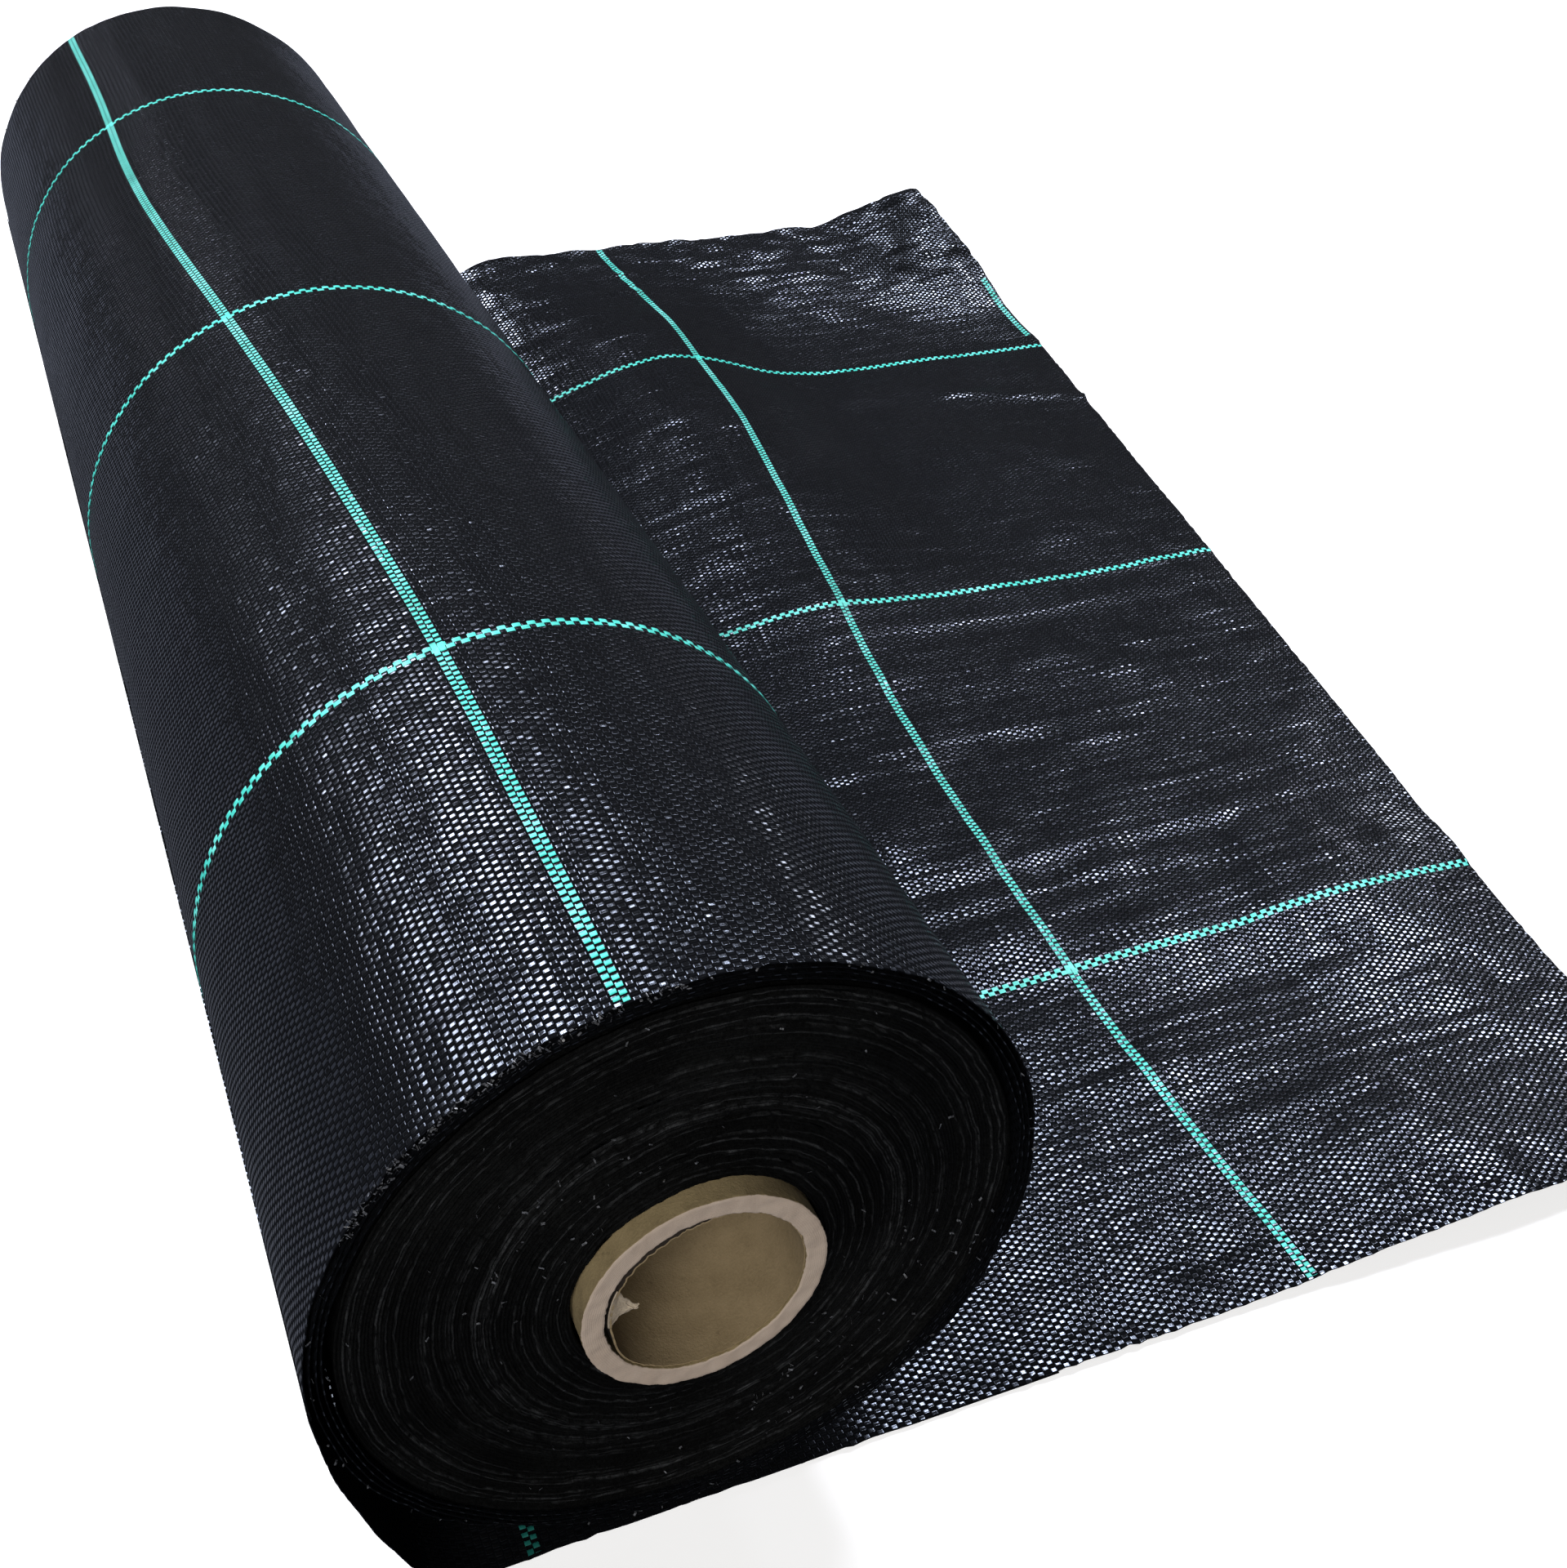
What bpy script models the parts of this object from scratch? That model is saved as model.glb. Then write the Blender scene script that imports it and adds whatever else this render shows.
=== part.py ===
# Roll of woven weed control fabric on a cardboard core, its free end laid out on the floor.
# Metres, +Z up. The roll lies along Y and the fabric is laid out towards +X.

import math

import bmesh
import bpy
from mathutils import Vector

# Fabric
fabric_width = 0.8
fabric_thickness = 0.0006
seat_gap = 0.0003

# Wound roll
pack_radius = 0.09
pack_slip = 0.0042
loose_turns = 4
loose_turn_spacing = 0.001525
stations_a_turn = 72
take_off_angle = math.radians(188)
running_clearance = 0.0002

# Cardboard core
core_bore = 0.0514
core_outside = 0.0646
core_stand_out = 0.006
core_slip = 0.0027
ply_thickness = 0.0006
tear_length = 0.011
tear_lean = 0.007

# Coloured marker tapes
marker_width = 0.005
marker_thickness = 0.00012
marker_gap = 0.0002
marker_spacing = 0.25

# Free end laid on the floor
sheet_length = 0.4
sheet_start = -0.047
sheet_second_weft = 0.231
sheet_third_weft = -0.042
cut_inset = 0.003
ridge_height = 0.024
edge_lift = 0.03
corner_lift = 0.019
near_lift = 0.007
wave_height = 0.0022

# Loose wrap between the roll and the floor
touch_down = 0.053
fall_reach = 0.045
floor_reach = 0.024
tail_length = 0.173

# Worked out from the sizes above
half_width = fabric_width / 2
roll_radius = pack_radius + seat_gap + fabric_thickness + loose_turns * loose_turn_spacing
marker_rise = marker_gap + marker_thickness
floor_stack = 2 * fabric_thickness + seat_gap
axis_height = roll_radius + floor_stack + 3 * marker_rise + running_clearance
core_length = fabric_width + 2 * core_stand_out
warp_marker_places = {"near": -marker_spacing, "middle": 0.0, "far": marker_spacing}

FABRIC_BLACK = ("woven_black_tape", (0.012, 0.012, 0.016), 0.35)
MARKER_GREEN = ("green_marker_tape", (0.03, 0.52, 0.42), 0.4)
KRAFT_BOARD = ("kraft_board", (0.42, 0.33, 0.22), 0.85)
KRAFT_LINER = ("kraft_liner_paper", (0.48, 0.38, 0.27), 0.8)


def clear_scene():
    for item in list(bpy.data.objects):
        bpy.data.objects.remove(item)


def named_collection(name):
    collection = bpy.data.collections.new(name)
    bpy.context.scene.collection.children.link(collection)
    return collection


def plain_material(piece_name, finish):
    """One Principled material for one piece."""
    finish_name, colour, roughness = finish
    material = bpy.data.materials.new(piece_name + "_" + finish_name)
    material.use_nodes = True
    shader = material.node_tree.nodes["Principled BSDF"]
    shader.inputs["Base Color"].default_value = (*colour, 1)
    shader.inputs["Roughness"].default_value = roughness
    shader.inputs["Metallic"].default_value = 0
    return material


def joint_frame(name, place, parent, collection):
    """An empty that stands on a joint and carries the pieces that move with it."""
    frame = bpy.data.objects.new(name, None)
    frame.location = place
    frame.parent = parent
    collection.objects.link(frame)
    return frame


def add_piece(name, mesh, finish, parent, collection):
    piece = bpy.data.objects.new(name, mesh)
    piece.parent = parent
    mesh.materials.append(plain_material(name, finish))
    collection.objects.link(piece)
    return piece


def smoothstep(low, high, value):
    share = min(1, max(0, (value - low) / (high - low)))
    return share * share * (3 - 2 * share)


def bump(centre, half, value):
    """A rounded rise from 0 to 1 and back, of the given half width."""
    share = min(1, abs(value - centre) / half)
    return 0.5 + 0.5 * math.cos(math.pi * share)


def surface_piece(name, columns, rows, place, thickness, finish, parent, collection):
    """A thin piece: a grid whose points place() sets, given its full thickness by Solidify."""
    across = len(columns) - 1
    along = len(rows) - 1
    work = bmesh.new()
    bmesh.ops.create_grid(work, x_segments=across, y_segments=along, size=0.5)
    for vertex in work.verts:
        column = round((vertex.co.x + 0.5) * across)
        row = round((vertex.co.y + 0.5) * along)
        vertex.co = place(columns[column], rows[row])
    mesh = bpy.data.meshes.new(name)
    work.to_mesh(mesh)
    work.free()
    for face in mesh.polygons:
        face.use_smooth = True
    piece = add_piece(name, mesh, finish, parent, collection)
    solid = piece.modifiers.new("Thickness", "SOLIDIFY")
    solid.thickness = thickness
    solid.offset = 0
    return piece


def turned_ring(name, inner_radius, outer_radius, length, edge_round, slip=0):
    """The mesh of a ring's section, with eased edges. Its bore may have slipped to one end."""
    half = length / 2
    wall = outer_radius - inner_radius - 2 * edge_round
    steps = 6 if slip else 1
    faces = []
    for end in (1, -1):
        face = [(inner_radius, slip + end * (half - edge_round))]
        for step in range(steps + 1):
            share = step / steps
            slipped = slip * (1 - smoothstep(0, 0.85, share))
            face.append((inner_radius + edge_round + wall * share, slipped + end * half))
        face.append((outer_radius, end * (half - edge_round)))
        faces.append(face)
    profile = faces[0] + faces[1][::-1]
    work = bmesh.new()
    corners = [work.verts.new((radius, 0, height)) for radius, height in profile]
    for first, second in zip(corners, corners[1:] + corners[:1]):
        work.edges.new((first, second))
    mesh = bpy.data.meshes.new(name)
    work.to_mesh(mesh)
    work.free()
    return mesh


def add_turned(name, mesh, segments, finish, parent, collection):
    ring = add_piece(name, mesh, finish, parent, collection)
    ring.rotation_euler = (math.pi / 2, 0, 0)
    screw = ring.modifiers.new("Turn", "SCREW")
    screw.steps = segments
    screw.render_steps = segments
    screw.use_merge_vertices = True
    screw.merge_threshold = 0.00001
    screw.use_smooth_shade = True
    return ring


# Cardboard core


def add_core(axis, collection):
    inner = core_bore / 2 + ply_thickness + seat_gap
    edge_round = ply_thickness
    mesh = turned_ring("cardboard_core", inner, core_outside / 2, core_length, edge_round)
    core = add_turned("cardboard_core", mesh, 64, KRAFT_BOARD, axis, collection)
    core.location.y = -core_slip
    return core


def add_inner_ply(axis, collection):
    """The innermost paper ply, torn at the near end where one tongue leans into the bore."""
    name = "core_inner_ply"
    radius = (core_bore + ply_thickness) / 2
    around = 40
    tear_column = 19
    near_end = seat_gap - core_length / 2
    rows = [near_end, near_end + tear_length / 2, near_end + tear_length, 0, -near_end]
    work = bmesh.new()
    rings = []
    for row, along in enumerate(rows):
        ring = []
        for column in range(around):
            angle = 2 * math.pi * column / around
            ring.append(work.verts.new((radius * math.cos(angle), along, radius * math.sin(angle))))
        rings.append(ring)
    tongue_row = {}
    for row in range(2):
        for column in (tear_column, tear_column + 1):
            lean = (2 - row) * tear_lean / 2
            angle = 2 * math.pi * column / around
            reach = radius - lean
            along = rows[row] + lean / 4
            point = (reach * math.cos(angle), along, reach * math.sin(angle))
            tongue_row[row, column] = work.verts.new(point)
    for row in range(len(rows) - 1):
        for column in range(around):
            after = (column + 1) % around
            torn = row < 2 and column in (tear_column - 1, tear_column + 1)
            if torn:
                continue
            corners = [
                rings[row][column],
                rings[row][after],
                rings[row + 1][after],
                rings[row + 1][column],
            ]
            if row < 2 and column == tear_column:
                corners[0] = tongue_row[row, column]
                corners[1] = tongue_row[row, column + 1]
                if row == 0:
                    corners[2] = tongue_row[1, column + 1]
                    corners[3] = tongue_row[1, column]
            work.faces.new(corners)
    loose = [vertex for vertex in work.verts if not vertex.link_faces]
    bmesh.ops.delete(work, geom=loose, context="VERTS")
    mesh = bpy.data.meshes.new(name)
    work.to_mesh(mesh)
    work.free()
    for face in mesh.polygons:
        face.use_smooth = True
    ply = add_piece(name, mesh, KRAFT_LINER, axis, collection)
    ply.location.y = -core_slip
    solid = ply.modifiers.new("Thickness", "SOLIDIFY")
    solid.thickness = ply_thickness
    solid.offset = 0
    return ply


# Wound fabric


def add_pack(axis, collection):
    """The tight turns, as one plain body. The inner ones have slipped towards the near end."""
    inner = core_outside / 2 + seat_gap
    edge_round = fabric_thickness
    mesh = turned_ring("wound_pack", inner, pack_radius, fabric_width, edge_round, pack_slip)
    return add_turned("wound_pack", mesh, 96, FABRIC_BLACK, axis, collection)


def winding_radius(angle):
    """Middle of the fabric in the loose outer turns, which run inwards from the take-off."""
    turns = (take_off_angle - angle) / (2 * math.pi)
    return roll_radius - fabric_thickness / 2 - loose_turn_spacing * turns


def on_winding(angle, along, rise):
    radius = winding_radius(angle) + rise
    return Vector((radius * math.cos(angle), along, radius * math.sin(angle)))


def winding_angles(turns):
    steps = round(turns * stations_a_turn)
    return [take_off_angle - 2 * math.pi * step / stations_a_turn for step in range(steps + 1)]


def add_outer_winding(axis, collection):
    angles = winding_angles(loose_turns)
    least_gap = loose_turn_spacing * math.cos(math.pi / stations_a_turn) - fabric_thickness
    print(f"outer winding: least gap to itself {least_gap * 1000:.2f} mm")
    return surface_piece(
        "outer_winding",
        angles,
        [-half_width, half_width],
        lambda angle, along: on_winding(angle, along, 0),
        fabric_thickness,
        FABRIC_BLACK,
        axis,
        collection,
    )


def marker_edges(place):
    return [place - marker_width / 2, place + marker_width / 2]


def add_roll_warp_markers(axis, collection):
    """Marker tapes that run round the roll, on its outermost turn."""
    rise = (fabric_thickness + marker_thickness) / 2 + marker_gap
    angles = winding_angles(1)[1:-2]
    for side, place in warp_marker_places.items():
        surface_piece(
            "roll_warp_marker_" + side,
            angles,
            marker_edges(place),
            lambda angle, along: on_winding(angle, along, rise),
            marker_thickness,
            MARKER_GREEN,
            axis,
            collection,
        )


# The weft marker's place round the roll, as shares of a turn at shares of the width.
weft_angle_shares = ((0, 0.283), (0.13, 0.284), (0.3, 0.291), (0.5, 0.311), (0.66, 0.333), (1, 0.34))


def weft_marker_angle(along):
    share = (along + half_width) / fabric_width
    for (low, first), (high, second) in zip(weft_angle_shares, weft_angle_shares[1:]):
        if share <= high:
            return 2 * math.pi * (first + (second - first) * smoothstep(low, high, share))
    return 2 * math.pi * weft_angle_shares[-1][1]


def crossing_rise(along):
    """How far a weft marker lifts to pass over the warp markers."""
    reach = 2 * marker_width
    over = [bump(place, reach, along) for place in warp_marker_places.values()]
    return marker_rise * min(1, 2 * max(over))


def weft_rows(start, end):
    """Places along a weft marker, closer together at each crossing."""
    steps = 20
    rows = [start + (end - start) * step / steps for step in range(steps + 1)]
    for place in warp_marker_places.values():
        near = [place + share * marker_width for share in (-2, -1.2, -0.5, 0.5, 1.2, 2)]
        rows = [row for row in rows if abs(row - place) > 2.5 * marker_width]
        rows += [row for row in near if start < row < end]
    return sorted(rows)


def add_roll_weft_marker(axis, collection):
    """Marker tape that runs along the roll, wandering round it a little as wound."""
    lift = (fabric_thickness + marker_thickness) / 2 + marker_gap
    half_turn = marker_width / roll_radius / 2

    def place(side, along):
        angle = weft_marker_angle(along) + side * half_turn
        return on_winding(angle, along, lift + crossing_rise(along))

    surface_piece(
        "roll_weft_marker",
        [-1, 1],
        weft_rows(-half_width, half_width),
        place,
        marker_thickness,
        MARKER_GREEN,
        axis,
        collection,
    )


# Loose wrap from the roll to the floor


def loose_wrap_line():
    """Middle line of the fabric that leaves the roll, bellies out and runs in under the sheet."""
    start_radius = roll_radius + 2 * marker_rise + running_clearance + fabric_thickness / 2
    start = Vector((math.cos(take_off_angle), 0, math.sin(take_off_angle))) * start_radius
    start.z += axis_height
    down = Vector((-math.sin(take_off_angle), 0, math.cos(take_off_angle))) * fall_reach
    floor = Vector((-touch_down, 0, fabric_thickness / 2))
    controls = (start, start + down, floor - Vector((floor_reach, 0, 0)), floor)
    line = []
    steps = 18
    for step in range(steps + 1):
        share = step / steps
        rest = 1 - share
        weights = (rest**3, 3 * rest**2 * share, 3 * rest * share**2, share**3)
        line.append(sum((weight * point for weight, point in zip(weights, controls)), Vector()))
    line.append(floor + Vector((tail_length / 2, 0, 0)))
    line.append(floor + Vector((tail_length, 0, 0)))
    return line


def line_normals(line):
    """The outward direction at each point of the loose wrap's line."""
    normals = []
    for index in range(len(line)):
        before = line[max(0, index - 1)]
        after = line[min(len(line) - 1, index + 1)]
        run = (after - before).normalized()
        normals.append(Vector((run.z, 0, -run.x)))
    return normals


def add_loose_wrap(carriage, collection):
    line = loose_wrap_line()
    surface_piece(
        "loose_wrap",
        range(len(line)),
        [-half_width, half_width],
        lambda index, along: line[index] + Vector((0, along, 0)),
        fabric_thickness,
        FABRIC_BLACK,
        carriage,
        collection,
    )


def add_loose_wrap_markers(carriage, collection):
    """Marker tapes on the outside of the loose wrap, down to where it nears the floor."""
    line = loose_wrap_line()
    normals = line_normals(line)
    rise = (fabric_thickness + marker_thickness) / 2 + marker_gap
    least_height = rise + marker_thickness
    shown = [index for index, point in enumerate(line) if point.z > least_height + fabric_thickness]
    for side, place in warp_marker_places.items():
        surface_piece(
            "loose_wrap_marker_" + side,
            shown,
            marker_edges(place),
            lambda index, along: line[index] + normals[index] * rise + Vector((0, along, 0)),
            marker_thickness,
            MARKER_GREEN,
            carriage,
            collection,
        )


# Sheet laid on the floor

# The cut end's distance from the roll, as shares of the sheet's length at shares of its width.
cut_edge_shares = ((0, 0.935), (0.5, 1.11), (0.82, 1.222), (0.91, 1.212), (1, 1.175))


# The stretch of weft marker that the slanted cut leaves, as shares of the width.
cut_end_weft_shares = (0.828, 0.925)

# How far the weft runs off square, as shares of the sheet's length at shares of its width.
weft_drift_shares = ((0, -0.05), (0.18, -0.05), (0.45, -0.008), (0.72, 0.06), (1, 0.05))


def cut_edge(along):
    share = (along + half_width) / fabric_width
    for (low, first), (high, second) in zip(cut_edge_shares, cut_edge_shares[1:]):
        if share <= high:
            return sheet_length * (first + (second - first) * (share - low) / (high - low))
    return sheet_length * cut_edge_shares[-1][1]


def weft_drift(across, along):
    """How far along the sheet the weft has drifted, most at the second weft marker."""
    share = (along + half_width) / fabric_width
    for (low, first), (high, second) in zip(weft_drift_shares, weft_drift_shares[1:]):
        if share <= high:
            drift = first + (second - first) * smoothstep(low, high, share)
            break
    settled = sheet_length * 0.85
    if across < sheet_second_weft:
        fade = smoothstep(0, 1, across / sheet_second_weft)
    else:
        fade = 1 - smoothstep(sheet_second_weft, settled, across)
    return sheet_length * drift * fade


def sheet_height(across, along):
    """Height of the middle of the laid fabric, with its ridge, its lifted edges and waves."""
    share = (along + half_width) / fabric_width
    reach = across / sheet_length
    tail_end = (tail_length - touch_down) / sheet_length
    over_tail = 1 - smoothstep(tail_end, tail_end + 0.1, reach)
    height = fabric_thickness / 2 + over_tail * (fabric_thickness + seat_gap)
    clear_of_roll = smoothstep(0.28, 0.45, reach)
    ridge = ridge_height * bump(0.59, 0.25, reach) * smoothstep(0.35, 0.8, share)
    lift = edge_lift * smoothstep(0.8, 1.08, share) * 1.25
    ridge *= 1 - smoothstep(0.83, 1, share)
    corner = corner_lift * smoothstep(0.98, 1.17, reach) * smoothstep(0.84, 1, share)
    near = near_lift * smoothstep(0.42, 0.75, reach) * (1 - smoothstep(0, 0.16, share))
    wave = bump(0.5, 0.16, share) * bump(0.52, 0.14, reach)
    wave += bump(0.2, 0.14, share) * bump(0.86, 0.16, reach)
    wave += bump(0.33, 0.16, share) * bump(0.45, 0.15, reach)
    wave += bump(0.62, 0.13, share) * bump(0.98, 0.2, reach)
    return height + clear_of_roll * (ridge + lift + corner + near + wave_height * wave)


def sheet_point(column, along, rise):
    """A place on the laid fabric. Columns are metres from the roll, or names near the cut end."""
    last_fixed = sheet_length * 0.85
    edge = cut_edge(along)
    marker_side = edge - cut_inset - marker_width
    if column == "cut":
        across = edge
    elif column == "marker_outer":
        across = edge - cut_inset
    elif column == "marker_inner":
        across = marker_side
    elif isinstance(column, str):
        share = {"first": 0.25, "second": 0.5, "third": 0.75}[column]
        across = last_fixed + (marker_side - last_fixed) * share
    else:
        across = column + weft_drift(column, along)
    return Vector((across, along, sheet_height(across, along) + rise))


def sheet_columns():
    plain_shares = (0.02, 0.14, 0.26, 0.34, 0.41, 0.47, 0.525, 0.64, 0.7, 0.77, 0.85)
    columns = [sheet_start] + [share * sheet_length for share in plain_shares]
    columns += marker_edges(sheet_second_weft) + marker_edges(sheet_third_weft)
    return sorted(columns) + ["first", "second", "third", "marker_inner", "marker_outer", "cut"]


def sheet_rows():
    plain_shares = (0, 0.03, 0.075, 0.13, 0.25, 0.32, 0.4, 0.57, 0.65, 0.71, 0.76, 0.86, 0.91, 0.955, 1)
    rows = [share * fabric_width - half_width for share in plain_shares]
    for place in warp_marker_places.values():
        rows += marker_edges(place)
    return sorted(rows)


def add_laid_sheet(ground, collection):
    surface_piece(
        "laid_sheet",
        sheet_columns(),
        sheet_rows(),
        lambda column, along: sheet_point(column, along, 0),
        fabric_thickness,
        FABRIC_BLACK,
        ground,
        collection,
    )


def add_sheet_warp_markers(ground, collection):
    rise = (fabric_thickness + marker_thickness) / 2 + marker_gap
    for side, place in warp_marker_places.items():
        surface_piece(
            "sheet_warp_marker_" + side,
            sheet_columns(),
            marker_edges(place),
            lambda column, along: sheet_point(column, along, rise),
            marker_thickness,
            MARKER_GREEN,
            ground,
            collection,
        )


def on_facets(column, along, rise):
    """A place over the sheet as faceted: straight from each of its rows to the next."""
    rows = sheet_rows()
    low = max(row for row in rows[:-1] if row <= along)
    high = min(row for row in rows if row > low)
    start = sheet_point(column, low, rise)
    return start.lerp(sheet_point(column, high, rise), (along - low) / (high - low))


def add_sheet_weft_marker(name, columns, rows, ground, collection):
    """A marker tape across the sheet, lifted over the warp markers that it crosses."""
    lift = (fabric_thickness + marker_thickness) / 2 + marker_gap
    surface_piece(
        name,
        columns,
        rows,
        lambda column, along: on_facets(column, along, lift + crossing_rise(along)),
        marker_thickness,
        MARKER_GREEN,
        ground,
        collection,
    )


def add_sheet_weft_markers(ground, collection):
    rows = sheet_weft_rows()
    add_sheet_weft_marker(
        "sheet_weft_marker_under_roll", marker_edges(sheet_third_weft), rows, ground, collection
    )
    add_sheet_weft_marker(
        "sheet_weft_marker_middle", marker_edges(sheet_second_weft), rows, ground, collection
    )
    first_row, last_row = [share * fabric_width - half_width for share in cut_end_weft_shares]
    end_rows = [first_row] + [row for row in rows if first_row < row < last_row] + [last_row]
    end_columns = ["marker_inner", "marker_outer"]
    add_sheet_weft_marker(
        "sheet_weft_marker_cut_end", end_columns, end_rows, ground, collection
    )


def sheet_weft_rows():
    """The sheet's own rows, so that a tape follows its facets, and more at each crossing."""
    rows = list(sheet_rows())
    for place in warp_marker_places.values():
        rows += [place + share * marker_width for share in (-2, -1.2, 1.2, 2)]
    return sorted(rows)


def build():
    clear_scene()
    parts = named_collection("weed_control_fabric_roll")
    ground = joint_frame("ground_frame", (0, 0, 0), None, parts)
    carriage = joint_frame("roll_travel_frame", (0, 0, 0), ground, parts)
    axis = joint_frame("roll_turn_frame", (0, 0, axis_height), carriage, parts)
    add_core(axis, parts)
    add_inner_ply(axis, parts)
    add_pack(axis, parts)
    add_outer_winding(axis, parts)
    add_roll_warp_markers(axis, parts)
    add_roll_weft_marker(axis, parts)
    add_loose_wrap(carriage, parts)
    add_loose_wrap_markers(carriage, parts)
    add_laid_sheet(ground, parts)
    add_sheet_warp_markers(ground, parts)
    add_sheet_weft_markers(ground, parts)


build()
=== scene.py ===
import math
import random
from functools import partial
from types import SimpleNamespace

import bmesh
import bpy
from mathutils import Euler, Matrix, Vector, noise


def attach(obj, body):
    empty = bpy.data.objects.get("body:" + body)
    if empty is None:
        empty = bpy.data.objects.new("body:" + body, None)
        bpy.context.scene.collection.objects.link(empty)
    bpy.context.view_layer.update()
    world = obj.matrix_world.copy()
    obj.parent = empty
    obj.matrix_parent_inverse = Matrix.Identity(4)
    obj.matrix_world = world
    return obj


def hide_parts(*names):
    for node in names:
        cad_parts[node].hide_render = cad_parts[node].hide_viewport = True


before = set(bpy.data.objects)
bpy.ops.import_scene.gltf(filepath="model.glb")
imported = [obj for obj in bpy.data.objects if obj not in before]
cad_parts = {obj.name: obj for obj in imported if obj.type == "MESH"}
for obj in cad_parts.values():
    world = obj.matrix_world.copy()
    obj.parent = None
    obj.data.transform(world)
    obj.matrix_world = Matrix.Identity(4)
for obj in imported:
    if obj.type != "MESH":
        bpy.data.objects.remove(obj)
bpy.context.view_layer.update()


# Cardboard core
# Spiral-wound kraft tube that the fabric is wound on. It stands out a little at both ends,
# where the saw left a paler face, a rough outer edge and torn fibres along the bore.

axis_height = 0.09966
core_outside_radius = 0.0323
core_inside_radius = 0.0266
core_half_length = 0.406
core_slip = 0.0027
core_steps_round = 240
core_end_steps = (0, 0.0004, 0.0013, 0.0025, 0.004, 0.006, 0.012)
core_edge_ease = 0.0003
core_face_shares = (0, 0.15, 0.3, 0.45, 0.6, 0.75, 0.9, 1)
core_ply = 0.00055
core_ply_wander = 0.0009
furred_depth = 0.008
furred_margin = 0.0008
outer_fur = 0.00022
inner_fur = 0.00034
fur_size = 0.0011
fur_wave_size = 0.004
saw_wave = (0.006, 0.0003)
saw_grain = (0.0013, 0.00012)
saw_cut = 0.0002
sawn_depth = 0.0012
face_tolerance = 0.0001
kraft_side_colour = (0.215, 0.165, 0.085)
kraft_side_shade = (0.14, 0.105, 0.052)
kraft_side_relief = 0.00016
kraft_cut_colour = (0.40, 0.325, 0.265)
kraft_cut_shade = (0.33, 0.26, 0.205)
kraft_cut_relief = 0.00012


def grain(place, size, depth):
    """Smooth unevenness of the given depth, whose features are about size across."""
    return depth * noise.noise(Vector(place) / size)


def finished_piece(name, work, materials):
    """Turns work into a smooth piece whose open edges stay sharp."""
    for edge in work.edges:
        edge.smooth = not edge.is_boundary
    mesh = bpy.data.meshes.new(name)
    work.to_mesh(mesh)
    work.free()
    for face in mesh.polygons:
        face.use_smooth = True
    for material in materials:
        mesh.materials.append(material)
    piece = bpy.data.objects.new(name, mesh)
    bpy.context.scene.collection.objects.link(piece)
    return piece


def link(source, socket):
    source.node.id_data.links.new(source, socket)


def new_material(name, roughness):
    """A material with nodes, its shader, and a function that adds and links one node."""
    material = bpy.data.materials.new(name)
    material.use_nodes = True
    tree = material.node_tree
    shader = tree.nodes["Principled BSDF"]
    shader.inputs["Roughness"].default_value = roughness

    def add(kind, *sources, **settings):
        node = tree.nodes.new(kind)
        for setting, value in settings.items():
            setattr(node, setting, value)
        for socket, source in enumerate(sources):
            if isinstance(source, bpy.types.NodeSocket):
                link(source, node.inputs[socket])
            else:
                node.inputs[socket].default_value = source
        return node

    return material, shader, add


def calculate(add, operation, *sources):
    return add("ShaderNodeMath", *sources, operation=operation).outputs[0]


def arithmetic(add):
    """Functions that add, multiply and subtract sockets and numbers."""
    return [partial(calculate, add, name) for name in ("ADD", "MULTIPLY", "SUBTRACT")]


def axis_distance(add, place):
    plus, _, less = arithmetic(add)
    parts = add("ShaderNodeSeparateXYZ", place).outputs
    rise = less(parts["Z"], axis_height)
    squares = [calculate(add, "POWER", side, 2) for side in (parts["X"], rise)]
    return calculate(add, "SQRT", plus(*squares))


def noise_over(add, vector, scale, detail, roughness=0.5, output="Fac"):
    node = add("ShaderNodeTexNoise", vector)
    node.inputs["Scale"].default_value = scale
    node.inputs["Detail"].default_value = detail
    node.inputs["Roughness"].default_value = roughness
    return node.outputs[output]


def ramp(add, source, stops):
    """A colour ramp with stops of (place, colour)."""
    node = add("ShaderNodeValToRGB", source)
    elements = node.color_ramp.elements
    while len(elements) < len(stops):
        elements.new(0.5)
    for element, (place, colour) in zip(elements, stops):
        element.position = place
        element.color = (*colour, 1)
    return node.outputs["Color"]


def rising(add, source, low, high):
    """A share that rises from 0 at low to 1 at high."""
    return ramp(add, source, ((low, (0, 0, 0)), (high, (1, 1, 1))))


def blend_colours(add, share, first, second):
    node = add("ShaderNodeMix", data_type="RGBA")
    for socket, source in zip((0, 6, 7), (share, first, second)):
        if isinstance(source, bpy.types.NodeSocket):
            link(source, node.inputs[socket])
        else:
            node.inputs[socket].default_value = (*source, 1)
    return node.outputs[2]


def set_bump(add, shader, height, distance):
    node = add("ShaderNodeBump")
    node.inputs["Distance"].default_value = distance
    link(height, node.inputs["Height"])
    link(node.outputs["Normal"], shader.inputs["Normal"])


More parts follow.
